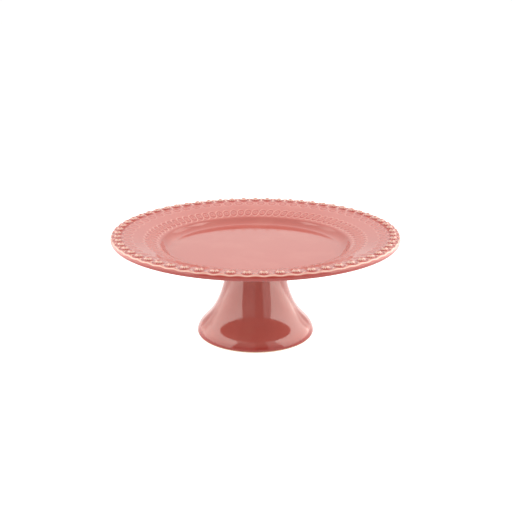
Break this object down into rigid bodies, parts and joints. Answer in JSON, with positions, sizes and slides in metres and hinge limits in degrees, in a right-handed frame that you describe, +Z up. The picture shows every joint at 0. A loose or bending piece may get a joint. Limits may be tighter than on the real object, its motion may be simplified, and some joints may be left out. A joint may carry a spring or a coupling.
{
  "type": "cake stand",
  "caption": "Footed cake stand: round glazed plate with a shallow flat well and embossed bands on its flange, on a hollow flared pedestal.",
  "frame": {"origin": "centre of the foot, on the surface that the stand rests on", "axes": "+Z up along the stand's own axis, towards the plate; X and Y lie in the table plane and are interchangeable"},
  "size_m": [0.3398, 0.34, 0.1303],
  "materials": {
    "plate_glaze": "gloss",
    "pedestal_glaze": "gloss",
    "bond_glaze": "gloss"
  },
  "bodies": {
    "root": {"plate": "plate_glaze", "pedestal": "pedestal_glaze", "luting_ring": "bond_glaze"}
  },
  "joints": []
}
